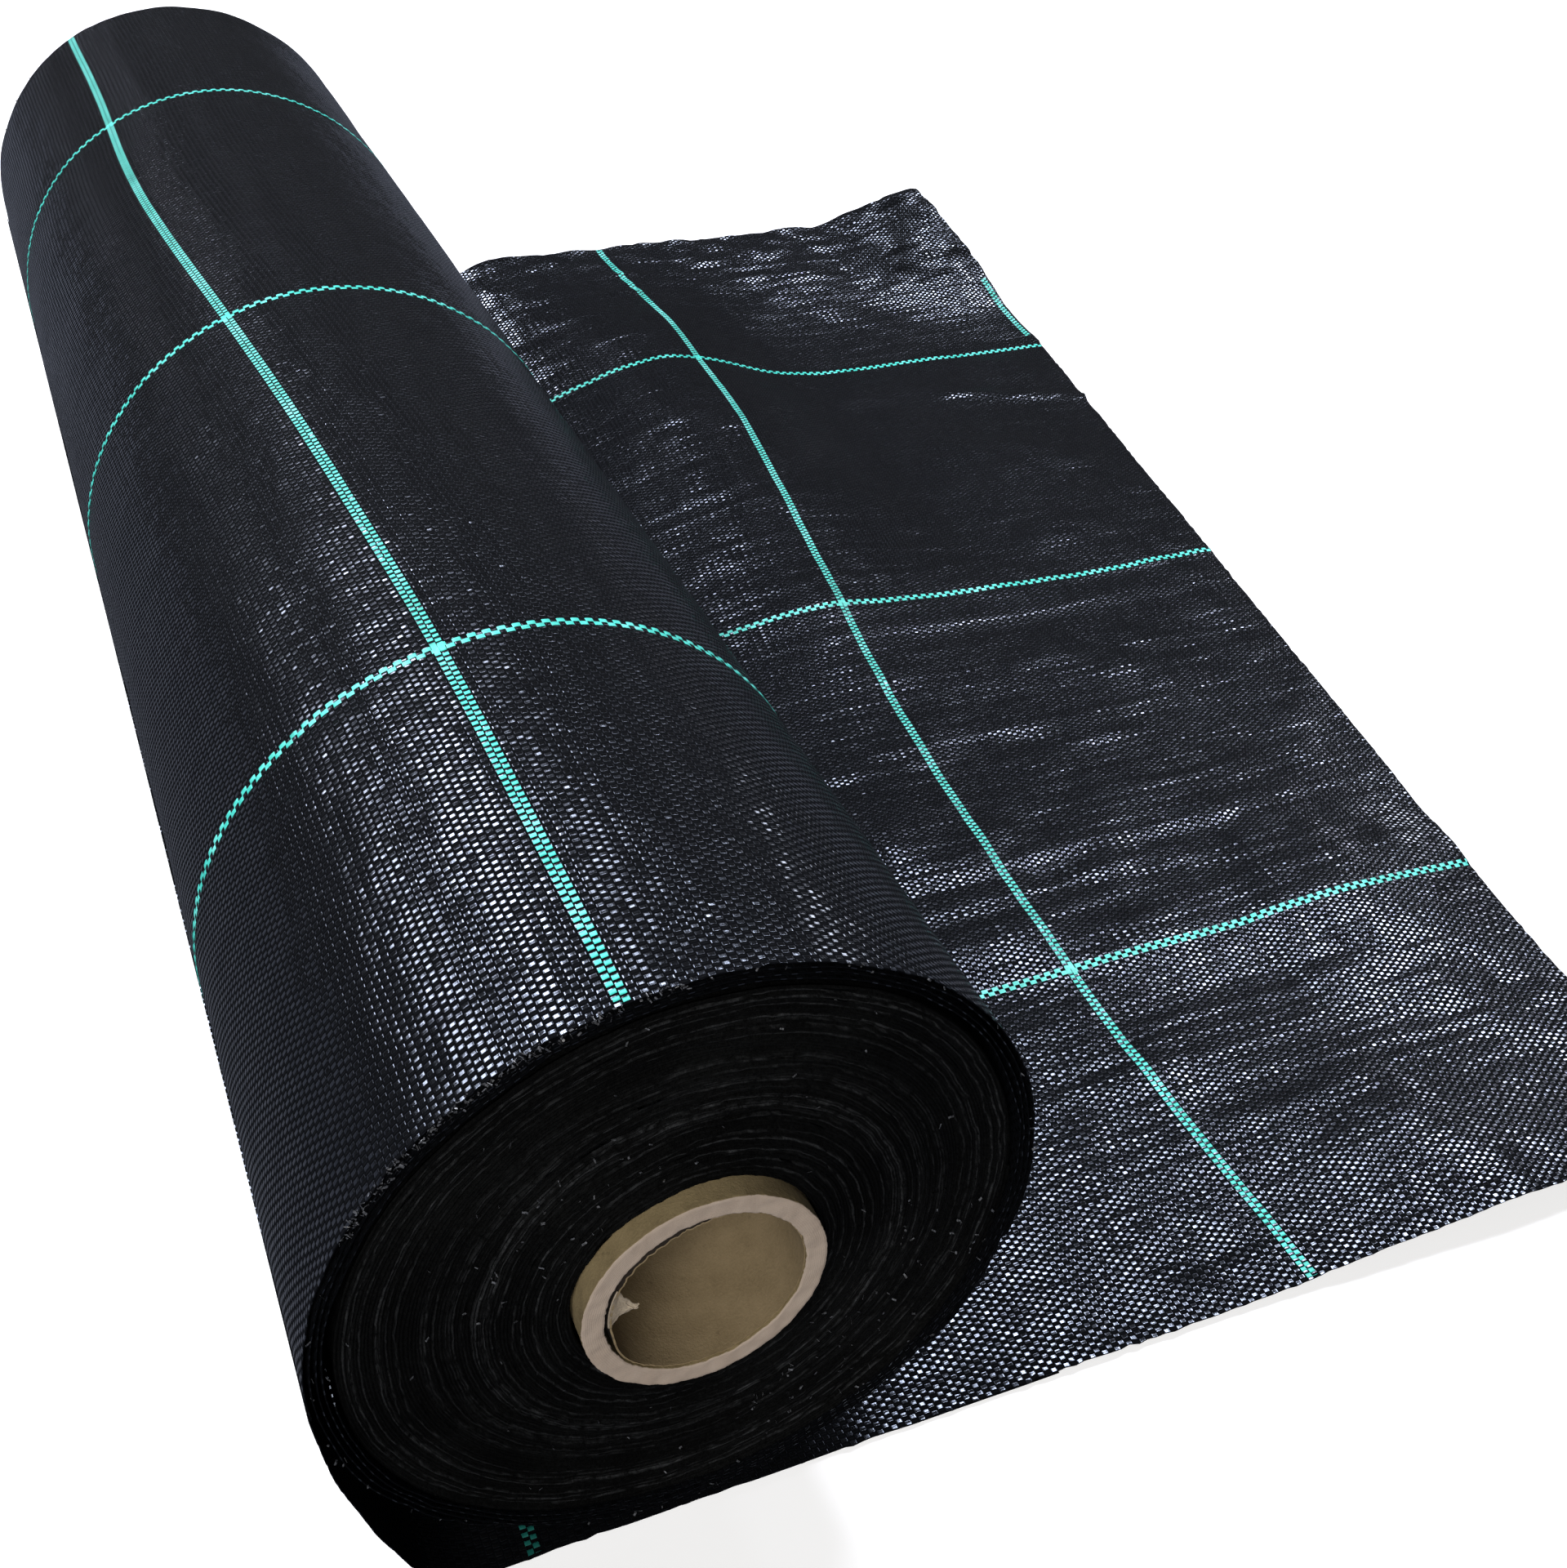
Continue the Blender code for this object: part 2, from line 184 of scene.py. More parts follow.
def kraft_material(name, colour, shade, speck_scale):
    """Grey-brown board: cloudy, with short fibres and a few darker specks."""
    material, shader, add = new_material(name, 0.88)
    plus, times, _ = arithmetic(add)
    place = add("ShaderNodeTexCoord").outputs["Object"]
    clouds = noise_over(add, place, 110, 4, 0.6)
    fibres = noise_over(add, place, 1500, 3, 0.65)
    specks = noise_over(add, place, speck_scale, 2)
    base = ramp(add, clouds, ((0.3, shade), (0.68, colour)))
    speck_share = times(rising(add, specks, 0.67, 0.76), 0.45)
    spotted = blend_colours(add, speck_share, base, [0.35 * part for part in shade])
    light_share = times(rising(add, fibres, 0.35, 0.7), 0.35)
    lighter = [min(1, 1.3 * part) for part in colour]
    link(blend_colours(add, light_share, spotted, lighter), shader.inputs["Base Color"])
    set_bump(add, shader, plus(fibres, times(clouds, 1.5)), kraft_side_relief)
    shader.inputs["Specular IOR Level"].default_value = 0.25
    return material


def cut_board_material():
    """The sawn face: paler, with the faint rings of the wound plies."""
    material, shader, add = new_material("kraft_board_cut", 0.9)
    plus, times, _ = arithmetic(add)
    place = add("ShaderNodeTexCoord").outputs["Object"]
    clouds = noise_over(add, place, 160, 4, 0.6)
    fibres = noise_over(add, place, 1800, 3, 0.7)
    radius = plus(axis_distance(add, place), times(clouds, core_ply_wander))
    plies = calculate(add, "SINE", times(radius, 2 * math.pi / core_ply))
    share = plus(calculate(add, "MULTIPLY_ADD", plies, 0.045, 0.25), times(clouds, 0.6))
    final = ramp(add, share, ((0.3, kraft_cut_shade), (0.72, kraft_cut_colour)))
    link(final, shader.inputs["Base Color"])
    set_bump(add, shader, plus(fibres, times(plies, 0.12)), kraft_cut_relief)
    shader.inputs["Specular IOR Level"].default_value = 0.2
    return material


def core_profile():
    """The tube's outline at one side, closer together at the sawn ends."""
    ends = [core_half_length - step - core_edge_ease for step in core_end_steps]
    outer = [(core_outside_radius, end) for end in ends]
    inner = [(core_inside_radius, end) for end in ends]
    face_start = core_outside_radius - core_edge_ease
    face_width = core_outside_radius - core_inside_radius - 2 * core_edge_ease
    face = [(face_start - share * face_width, core_half_length) for share in core_face_shares]
    far_half = outer[::-1] + face + inner
    near_half = [(radius, -along) for radius, along in far_half[::-1]]
    return far_half + near_half


def roughen_core_end(point):
    """Moves a point of the tube to its place after sawing: uneven face, furred edges."""
    radius = math.hypot(point.x, point.z - axis_height)
    depth = core_half_length - abs(point.y)
    if depth > furred_depth:
        return point
    end = math.copysign(1, point.y)
    near_outside = radius > (core_outside_radius + core_inside_radius) / 2
    fur = outer_fur if near_outside else inner_fur
    change = grain(point, fur_size, fur) + grain(point, fur_wave_size, fur * 0.8)
    sawn = grain(point * 1.7, *saw_wave) + grain(point, *saw_grain)
    stretch = 1 + (1 - depth / furred_depth) * change / radius
    off_edges = min(core_outside_radius - radius, radius - core_inside_radius)
    if depth > face_tolerance or off_edges < furred_margin:
        point.x *= stretch
        point.z = axis_height + (point.z - axis_height) * stretch
    point.y += end * (sawn - saw_cut) * max(0, 1 - depth / sawn_depth)
    return point


def add_core():
    work = bmesh.new()
    corners = [work.verts.new((radius, along, axis_height)) for radius, along in core_profile()]
    edges = [work.edges.new(pair) for pair in zip(corners, corners[1:] + corners[:1])]
    bmesh.ops.spin(
        work,
        geom=corners + edges,
        cent=(0, 0, axis_height),
        axis=(0, 1, 0),
        angle=2 * math.pi,
        steps=core_steps_round,
        use_merge=True,
    )
    bmesh.ops.recalc_face_normals(work, faces=work.faces)
    for face in work.faces:
        face.material_index = 1 if abs(face.normal.y) > 0.7 else 0
    for vertex in work.verts:
        vertex.co = roughen_core_end(vertex.co) - Vector((0, core_slip, 0))
    side = kraft_material("kraft_board_side", kraft_side_colour, kraft_side_shade, 420)
    return finished_piece("cardboard_tube", work, [side, cut_board_material()])


core = add_core()
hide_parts("cardboard_core")
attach(core, "roll")


# Innermost paper ply of the core
# Thin liner of the bore. At the near end it has come away from the wall along the upper left,
# where one torn tongue leans into the bore.

ply_outer_radius = 0.02632
ply_thickness = 0.0005
ply_near_end = -0.4083
ply_columns = 240
ply_depths = (0, 0.0004, 0.001, 0.002, 0.004, 0.007, 0.011, 0.016, 0.03, 0.06, 0.2, 0.4, 0.8105)
merge_distance = 0.00001
peel_from = (62, 115)
peel_to = (190, 226)
peel_inward = 0.0017
peel_depth = 0.013
ply_setback = 0.0008
peeled_reach = 0.0006
ply_tear = 0.00035
peeled_tear = 0.0002
tear_sizes = (0.0016, 0.0005)
tear_depth = 0.004
peel_wave = (0.005, 0.0003)
peel_wave_depth = 0.006
tongue_angles = (math.radians(156), math.radians(185))
tongue_length = 0.0086
tongue_thickness = 0.00035
tongue_steps = 24
tongue_root_inset = 0.0008
tongue_stand = 0.0001
tongue_lean = 0.0012
tongue_curl = 0.0009
tongue_cup = 0.0025
tongue_crumple = 0.0004
tongue_wrinkle = 0.00022
liner_colour = (0.22, 0.165, 0.093)
liner_shade = (0.165, 0.122, 0.065)
torn_colour = (0.36, 0.30, 0.225)
torn_shade = (0.24, 0.19, 0.135)
# Near black for the liner's outer side: painted shade for the dark gap behind the peeled ply.
painted_gap_shade = (0.02, 0.013, 0.008)
gap_shade_relief = 0.0002


def smoothstep(low, high, value):
    share = min(1, max(0, (value - low) / (high - low)))
    return share * share * (3 - 2 * share)


def fading(reach, value):
    """Falls smoothly from 1 at 0 to 0 at reach."""
    return 1 - smoothstep(0, reach, value)


def bump(centre, half, value):
    """A rounded rise from 0 to 1 and back, of the given half width."""
    share = min(1, abs(value - centre) / half)
    return 0.5 + 0.5 * math.cos(math.pi * share)


def round_axis(angle, radius, along):
    return Vector((radius * math.cos(angle), along, axis_height + radius * math.sin(angle)))


def ply_point(angle, depth):
    """A place on the ply's outer side, peeled inwards along the upper left of its near end."""
    degrees = math.degrees(angle) % 360
    peel = smoothstep(*peel_from, degrees) * (1 - smoothstep(*peel_to, degrees))
    inward = peel_inward * peel * fading(peel_depth, depth)
    ragged = ply_tear + peeled_tear * peel
    spot = round_axis(angle, ply_outer_radius, 0)
    torn = grain(spot, tear_sizes[0], ragged) + grain(spot, tear_sizes[1], ragged * 0.5)
    setback = max(0, ply_setback - peeled_reach * peel + torn) * fading(tear_depth, depth)
    wavy = grain(spot, *peel_wave) * peel * fading(peel_wave_depth, depth)
    return round_axis(angle, ply_outer_radius - inward + wavy, ply_near_end + depth + setback)


def plain_material(name, colour, roughness, relief):
    material, shader, add = new_material(name, roughness)
    place = add("ShaderNodeTexCoord").outputs["Object"]
    patches = noise_over(add, place, 300, 3)
    final = ramp(add, patches, ((0.3, [0.5 * part for part in colour]), (0.7, colour)))
    link(final, shader.inputs["Base Color"])
    set_bump(add, shader, patches, relief)
    return material


def thicken(piece, thickness, offset=0):
    """Gives a sheet its thickness, half on each side unless offset says otherwise."""
    solid = piece.modifiers.new("Thickness", "SOLIDIFY")
    solid.thickness = thickness
    solid.offset = offset
    return solid


def add_core_liner():
    """The liner's tube, paper inside and near black outside: painted shade in the peeled ply's
    gap.
    """
    rows = len(ply_depths) - 1
    work = bmesh.new()
    bmesh.ops.create_grid(work, x_segments=ply_columns, y_segments=rows, size=0.5)
    for vertex in work.verts:
        column = (vertex.co.x + 0.5) * ply_columns
        row = round((vertex.co.y + 0.5) * rows)
        vertex.co = ply_point(2 * math.pi * column / ply_columns, ply_depths[row])
    bmesh.ops.remove_doubles(work, verts=work.verts, dist=merge_distance)
    paper = kraft_material("kraft_liner_paper", liner_colour, liner_shade, 330)
    # The outer side gets the near black, painted shade that shows where the ply has come away.
    shaded_side = plain_material("painted_gap_shade", painted_gap_shade, 0.7, gap_shade_relief)
    liner = finished_piece("core_liner_ply", work, [paper, shaded_side])
    thicken(liner, ply_thickness, -1).material_offset = 1
    return liner


def tongue_point(across, out):
    """A place on the torn tongue: across from 0 to 1 along its root, out from root to tip."""
    first, last = tongue_angles
    width = 1 - 0.5 * smoothstep(0, 0.7, out) - 0.36 * smoothstep(0.5, 1, out)
    middle = 0.5 + 0.27 * out
    angle = first + (last - first) * (middle + (across - 0.5) * width)
    notch = 0.05 * math.sin(9 * across + 1) + 0.04 * math.sin(23 * across)
    radius = ply_outer_radius - tongue_root_inset - tongue_length * out * (0.9 + notch * out)
    curl = tongue_curl * math.sin(math.pi * out) + tongue_cup * (across - 0.5) ** 2 * out
    along = ply_near_end + tongue_stand + tongue_lean * out + curl
    crumple = grain((across, out, 5), 0.3, tongue_crumple)
    crumple += grain((across * 9, out, 9), 0.5, tongue_wrinkle)
    turn = grain((out * 5, across * 2, 7), 0.3, 0.03) * min(1, 3 * out)
    return round_axis(angle + turn, radius, along + crumple * min(1, 4 * out))


def add_torn_tongue():
    work = bmesh.new()
    bmesh.ops.create_grid(work, x_segments=tongue_steps, y_segments=tongue_steps, size=0.5)
    for vertex in work.verts:
        vertex.co = tongue_point(vertex.co.x + 0.5, vertex.co.y + 0.5)
    material = kraft_material("torn_paper", torn_colour, torn_shade, 500)
    tongue = finished_piece("core_liner_torn_tongue", work, [material])
    thicken(tongue, tongue_thickness)
    return tongue


liner = add_core_liner()
tongue = add_torn_tongue()
for piece in (liner, tongue):
    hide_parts("core_inner_ply")
    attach(piece, "roll")


# Tight turns on the core
# The woven fabric wound hard on the core. Only its edges show, at both ends, where the turns
# stand out unevenly and have slipped a little; the outer turns cover the rest.

fabric_width = 0.8
half_width = fabric_width / 2
pack_radius = 0.0897
pack_turns_near = 62
pack_turns_far = 30
pack_columns_near = 168
pack_columns_far = 96
pack_gap = 0.0004
pack_slip = 0.0042
ridge_steps = (0, 0.3, 0.75)
turn_setback = 0.0009
turn_valley = 0.0007
turn_wave = 0.0011
turn_step = 0.0008
turn_fray = 0.0004
greatest_stand = 0.0012
shell_segments = 96
shell_inset = 0.0008
shell_end_inset = 0.001
edge_line_spacing = 0.00075
edge_black = (0.0004, 0.0004, 0.0004)
edge_grey = (0.003, 0.0032, 0.0032)
edge_line_grey = (0.065, 0.068, 0.072)
edge_relief = 0.0007


def scaled(add, vector, scale):
    return add("ShaderNodeVectorMath", vector, scale, operation="MULTIPLY").outputs[0]


def chance_of(add, number):
    """A fixed chance from 0 to 1 for each whole number."""
    node = add("ShaderNodeTexWhiteNoise", noise_dimensions="1D")
    link(number, node.inputs["W"])
    return node.outputs["Value"]


def pack_edge_material():
    """Cut and folded tape edges: near black and grainy, with a thin paler line on some turns."""
    material, shader, add = new_material("wound_tape_edges", 0.7)
    plus, times, less = arithmetic(add)
    place = add("ShaderNodeTexCoord").outputs["Object"]
    wander = noise_over(add, scaled(add, place, (70, 4, 70)), 1, 2)
    wavy = plus(wander, times(noise_over(add, place, 260, 2), 0.35))
    turn = plus(times(axis_distance(add, place), 1 / edge_line_spacing), times(wavy, 3.2))
    own_chance = chance_of(add, calculate(add, "FLOOR", turn))
    off_line = calculate(add, "MULTIPLY_ADD", calculate(add, "FRACT", turn), 2, -1)
    off_line = calculate(add, "POWER", calculate(add, "ABSOLUTE", off_line), 0.5)
    broken = rising(add, noise_over(add, place, 330, 3, 0.7), 0.34, 0.62)
    shown = times(calculate(add, "POWER", own_chance, 4), broken)
    line_share = times(less(1, off_line), shown)
    frizz = noise_over(add, place, 900, 3, 0.75)
    patches = noise_over(add, place, 38, 3)
    share = times(frizz, calculate(add, "MULTIPLY_ADD", patches, 1.4, 0.25))
    dark = ramp(add, share, ((0.36, edge_black), (0.66, edge_grey)))
    link(blend_colours(add, line_share, dark, edge_line_grey), shader.inputs["Base Color"])
    set_bump(add, shader, plus(times(line_share, 0.8), frizz), edge_relief)
    shader.inputs["Specular IOR Level"].default_value = 0.05
    return material


def slip_at(radius):
    """How far the turns at this radius have slipped towards the near end."""
    out = (radius - core_outside_radius) / (pack_radius - core_outside_radius)
    return pack_slip * fading(0.85, out)


def pack_end_point(turns, seed):
    """Gives the place of a point of the end face, from its row and its share of a turn."""
    inner = core_outside_radius + pack_gap
    spacing = (pack_radius - inner) / (turns + 1)

    def place(row, share):
        turn = row // len(ridge_steps) + share
        part = row % len(ridge_steps)
        angle = 2 * math.pi * share
        right, up = math.cos(angle), math.sin(angle)
        radius = inner + spacing * (turn + ridge_steps[part])
        radius += grain(Vector((right, up, turn * 0.9 + seed)) * 1.5, 0.35, spacing * 0.3)
        depth = turn_setback + grain((right, up, turn * 0.16 + seed), 0.8, turn_wave)
        depth += grain((right * 2, up * 2, turn * 3.1 + seed), 1, turn_step) * 0.6
        depth += grain((angle * 40, turn * 7, seed), 1, turn_fray)
        if part == 0:
            depth += turn_valley
        return angle, min(radius, pack_radius), max(-greatest_stand, depth)

    return place


def pack_end(turns, columns, seed, end):
    """One end face of the wound turns, as a spiral of narrow ridges."""
    rows = len(ridge_steps) * turns + 1
    place = pack_end_point(turns, seed)
    work = bmesh.new()
    bmesh.ops.create_grid(work, x_segments=columns, y_segments=rows, size=0.5)
    for vertex in work.verts:
        column = round((vertex.co.x + 0.5) * columns)
        row = round((vertex.co.y + 0.5) * rows)
        angle, radius, depth = place(row, column / columns)
        vertex.co = round_axis(angle, radius, end * (half_width - depth) - slip_at(radius))
    return work


def add_wound_turns():
    work = pack_end(pack_turns_near, pack_columns_near, 0.0, -1)
    far_mesh = bpy.data.meshes.new("far_end_face")
    far = pack_end(pack_turns_far, pack_columns_far, 9.0, 1)
    far.to_mesh(far_mesh)
    far.free()
    work.from_mesh(far_mesh)
    bpy.data.meshes.remove(far_mesh)
    bmesh.ops.remove_doubles(work, verts=work.verts, dist=merge_distance)
    shell = bmesh.ops.create_cone(
        work,
        cap_ends=False,
        segments=shell_segments,
        radius1=pack_radius - shell_inset,
        radius2=pack_radius - shell_inset,
        depth=fabric_width - 2 * shell_end_inset,
    )
    for vertex in shell["verts"]:
        vertex.co = Vector((vertex.co.x, vertex.co.z, axis_height + vertex.co.y))
    bmesh.ops.recalc_face_normals(work, faces=work.faces)
    for face in work.faces:
        middle = face.calc_center_median()
        outward = Vector((0, middle.y, 0))
        if abs(middle.y) < half_width / 2:
            outward = middle - Vector((0, 0, axis_height))
        if face.normal.dot(outward) < 0:
            face.normal_flip()
    return finished_piece("wound_turns", work, [pack_edge_material()])


wound_turns = add_wound_turns()
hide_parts("wound_pack")
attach(wound_turns, "roll")


# Loose outer turns
# The last turns of woven black polypropylene tape, wound slack. The weave is plain: warp tapes
# 1.25 mm apart run round the roll and weft tapes 2.2 mm apart run along it.

warp_pitch = 0.00125
weft_pitch = 0.0022
cloth_thickness = 0.0003
take_off_angle = math.radians(188)
roll_radius = 0.097
cad_thickness = 0.0006
turn_spacing = 0.001525
outer_turn_columns = 168
outer_turn_rows = 170
inner_turn_columns = 288
inner_turn_rows = 12
slack_wave = (0.55, 0.00045)
slack_grain = (0.2, 0.0002)
greatest_slack = 0.0002
end_flare = (0.7, 0.0005)
end_flare_reach = 0.03
edge_fray = 0.0009
edge_wander = 0.0012
tape_black = (0.0016, 0.0017, 0.0020)
tape_grey = (0.0042, 0.0044, 0.0050)
# Near black in the gaps between tapes: painted shade where the tapes shadow each other.
tape_gap_painted_shade = (0.0006, 0.0006, 0.0008)
tape_sheen = (0.71, 0.81, 1.0)

# The weft tapes lie flat and shine; the warp tapes are folded, and as dull as the gaps.
warp_fold = (1.1, 1.4)
weft_fold = (5.0, 1.6)
warp_bow = 3.0
weft_bow = 12.0
bow_depth = 0.9
weft_roughness = 0.13
dull_roughness = 0.8
weft_specular = 0.6
specular_loss = 0.52
crinkle_depth = 0.0026

# The weft marker's place round the roll, in degrees, at distances from the near end.
weft_line_on_roll = (
    (0.0, 102.0),
    (0.049, 102.0),
    (0.094, 102.5),
    (0.15, 102.6),
    (0.23, 105.3),
    (0.298, 107.5),
    (0.395, 112.1),
    (0.494, 117.6),
    (0.577, 120.8),
    (0.651, 120.4),
    (0.702, 119.9),
    (0.8, 121.5),
)
smoothing_steps = (-0.04, -0.02, 0, 0.02, 0.04)


def along_table(table, value):
    """The table's second column at a value of its first, in straight lines between entries."""
    for (low, first), (high, second) in zip(table, table[1:]):
        if value <= high:
            return first + (second - first) * (value - low) / (high - low)
    return table[-1][1]


def smoothed(table, side):
    """A table by distance from the near edge, read at a side of the fabric and smoothed."""
    places = [min(fabric_width, max(0, side + half_width + step)) for step in smoothing_steps]
    return sum(along_table(table, place) for place in places) / len(places)


def weft_angle(side):
    return math.radians(smoothed(weft_line_on_roll, side))


def weave_cell(add, counted):
    """The tape that shows at a place: its kind, numbers and chances, and the place on it."""
    plus, times, less = arithmetic(add)
    wander = noise_over(add, counted, 0.11, 2, output="Color")
    wander = add("ShaderNodeVectorMath", wander, (0.5, 0.5, 0.5), operation="SUBTRACT").outputs[0]
    wander = scaled(add, wander, (0.55, 0.4, 0))
    cell = SimpleNamespace()
    cell.place = add("ShaderNodeVectorMath", counted, wander, operation="ADD").outputs[0]
    parts = add("ShaderNodeSeparateXYZ", cell.place).outputs
    cell.across, cell.along = parts["X"], parts["Y"]
    cell.warp_number = calculate(add, "FLOOR", cell.across)
    cell.weft_number = calculate(add, "FLOOR", cell.along)
    in_warp = calculate(add, "FRACT", cell.across)
    in_weft = calculate(add, "FRACT", cell.along)
    parity = calculate(add, "MODULO", plus(cell.warp_number, cell.weft_number), 2.0)
    weft_over = calculate(add, "GREATER_THAN", calculate(add, "ABSOLUTE", parity), 0.5)
    cell.warp_over = less(1.0, weft_over)

    def of_tape(warp_value, weft_value):
        return plus(times(warp_value, cell.warp_over), times(weft_value, weft_over))

    cell.of_tape = of_tape
    cell.width_part = of_tape(in_warp, in_weft)
    cell.length_part = of_tape(in_weft, in_warp)
    numbers = add("ShaderNodeCombineXYZ", cell.warp_number, cell.weft_number, 0.0).outputs[0]
    own = add("ShaderNodeTexWhiteNoise", numbers, noise_dimensions="2D").outputs["Color"]
    cell.chances = add("ShaderNodeSeparateColor", own).outputs
    return cell


def tape_shape(add, cell, unevenness):
    """Height over a tape, 0 at its edges and 1 on top, and the same tilted as each tape lies."""
    plus, times, less = arithmetic(add)
    power = partial(calculate, add, "POWER")
    off_middle, off_centre = [
        calculate(add, "ABSOLUTE", less(times(part, 2.0), 1.0))
        for part in (cell.width_part, cell.length_part)
    ]
    folds = [times(power(off_middle, edge), depth) for edge, depth in (warp_fold, weft_fold)]
    bows = [power(off_centre, edge) for edge in (warp_bow, weft_bow)]
    arch = less(1.0, times(cell.of_tape(*bows), bow_depth))
    pillow = times(less(1.0, cell.of_tape(*folds)), arch)

    twists = []
    for across, along in (
        (times(cell.warp_number, 7.3), times(cell.along, 0.035)),
        (times(cell.across, 0.05), times(cell.weft_number, 5.7)),
    ):
        course = add("ShaderNodeCombineXYZ", across, along).outputs[0]
        twists.append(less(noise_over(add, course, 1.0, 1), 0.5))
    twist = times(cell.of_tape(*twists), 2.8 * unevenness)
    side_turn = plus(times(less(cell.chances[0], 0.5), unevenness), twist)
    side_tilt = times(side_turn, less(cell.width_part, 0.5))
    end_turn = times(less(cell.chances[1], 0.5), 1.4 * unevenness)
    end_tilt = times(end_turn, less(cell.length_part, 0.5))
    return pillow, plus(pillow, plus(side_tilt, end_tilt))


def woven_tape_material(name, relief, unevenness, ripple_depth):
    """Plain weave of flat tapes, from a UV map that counts warp tapes and weft tapes."""
    material, shader, add = new_material(name, weft_roughness)
    plus, times, less = arithmetic(add)
    counted = add("ShaderNodeUVMap", uv_map="tapes").outputs["UV"]
    cell = weave_cell(add, counted)
    pillow, tilted = tape_shape(add, cell, unevenness)
    weft_chance = chance_of(add, cell.weft_number)
    slack = plus(times(weft_chance, 0.35), times(chance_of(add, cell.warp_number), 0.25))
    streaks = noise_over(add, scaled(add, cell.place, (5.0, 0.5, 1.0)), 1.0, 2)
    height = times(plus(plus(tilted, slack), times(streaks, 0.2)), relief)
    crinkles = noise_over(add, scaled(add, counted, (0.014, 0.07, 1.0)), 1.0, 3, 0.55)
    ripples = noise_over(add, scaled(add, counted, (0.15, 0.02, 1.0)), 1.0, 3, 0.6)
    creases = plus(times(crinkles, crinkle_depth * unevenness), times(ripples, ripple_depth))
    set_bump(add, shader, plus(height, creases), 1.0)

    # The gaps at the tapes' edges get painted shade in their colour, and are dull.
    shaded_gap_share = ramp(add, pillow, ((0.25, (1, 1, 1)), (0.8, (0, 0, 0))))
    tape_share = plus(times(cell.chances[2], 0.6), times(weft_chance, 0.4))
    tape_colour = blend_colours(add, tape_share, tape_black, tape_grey)
    final = blend_colours(add, shaded_gap_share, tape_colour, tape_gap_painted_shade)
    link(final, shader.inputs["Base Color"])
    dull = calculate(add, "MAXIMUM", cell.warp_over, shaded_gap_share)
    scuffs = times(calculate(add, "POWER", cell.chances[2], 3.0), 0.06)
    roughness = plus(plus(scuffs, times(dull, dull_roughness)), weft_roughness)
    link(roughness, shader.inputs["Roughness"])
    specular = less(weft_specular, times(dull, specular_loss))
    link(specular, shader.inputs["Specular IOR Level"])
    shader.inputs["Specular Tint"].default_value = (*tape_sheen, 1)
    return material


def woven_cloth(name, columns, rows, place, tape_count, material, top=1):
    """A sheet of the fabric: a grid whose points place(across, along) sets, both from 0 to 1."""
    work = bmesh.new()
    bmesh.ops.create_grid(work, x_segments=rows, y_segments=columns, size=0.5)
    tapes = work.loops.layers.uv.new("tapes")
    shares = {}
    points = {}
    for vertex in work.verts:
        row = round((vertex.co.x + 0.5) * rows)
        column = round((vertex.co.y + 0.5) * columns)
        shares[vertex] = (row / rows, column / columns)
        points[row, column] = place(row / rows, column / columns)
        vertex.co = points[row, column]
    for face in work.faces:
        for loop in face.loops:
            loop[tapes].uv = tape_count(*shares[loop.vert])
    cloth = finished_piece(name, work, [material])
    thicken(cloth, cloth_thickness)
    return cloth, SimpleNamespace(points=points, rows=rows, columns=columns, top=top)


def over_cloth(weave, across, along, rise):
    """A place above the cloth as it is meshed, at shares across and along it."""
    row_place = min(weave.rows - 1e-6, max(0, across * weave.rows))
    column_place = min(weave.columns - 1e-6, max(0, along * weave.columns))
    row, column = int(row_place), int(column_place)
    down, over = row_place - row, column_place - column
    near_first, near_last = (weave.points[row, column + step] for step in (0, 1))
    far_first, far_last = (weave.points[row + 1, column + step] for step in (0, 1))
    near = near_first.lerp(near_last, over)
    far = far_first.lerp(far_last, over)
    across_way = far - near
    along_way = near_last.lerp(far_last, down) - near_first.lerp(far_first, down)
    return near.lerp(far, down) + along_way.cross(across_way).normalized() * weave.top * rise


def winding_radius(angle):
    """Middle of the fabric in the loose outer turns, which run inwards from the take-off."""
    turns = (take_off_angle - angle) / (2 * math.pi)
    return roll_radius - cad_thickness / 2 - turn_spacing * turns


def turn_point(first_turn, turns):
    """Gives the place of a point of the loose turns, slightly uneven and ragged at its edges."""

    def place(across, along):
        angle = take_off_angle - 2 * math.pi * (first_turn + turns * along)
        side = (across - 0.5) * fabric_width
        spot = Vector((math.cos(angle), math.sin(angle), side * 8))
        uneven = grain(spot, *slack_wave) + grain(spot * 1.3, *slack_grain)
        end = fading(end_flare_reach, half_width - abs(side))
        uneven += end * grain((angle * 3, first_turn, math.copysign(2, side)), *end_flare)
        edge = 0
        if across in (0, 1):
            edge = grain((angle * 60, first_turn, across * 5), 1, edge_fray)
            edge += grain((angle * 4, first_turn, across * 5), 1, edge_wander)
        radius = winding_radius(angle) + min(greatest_slack, uneven)
        return round_axis(angle, radius, side * (1 - abs(edge)) + edge)

    return place


def turn_tapes(first_turn, turns):
    """Counts warp tapes across the fabric and weft tapes along it, level with the weft marker."""

    def count(across, along):
        side = (across - 0.5) * fabric_width
        angle = take_off_angle - 2 * math.pi * (first_turn + turns * along)
        run = (roll_radius - cad_thickness / 2) * (weft_angle(side) - angle)
        return (across * fabric_width / warp_pitch, run / weft_pitch + 1000)

    return count


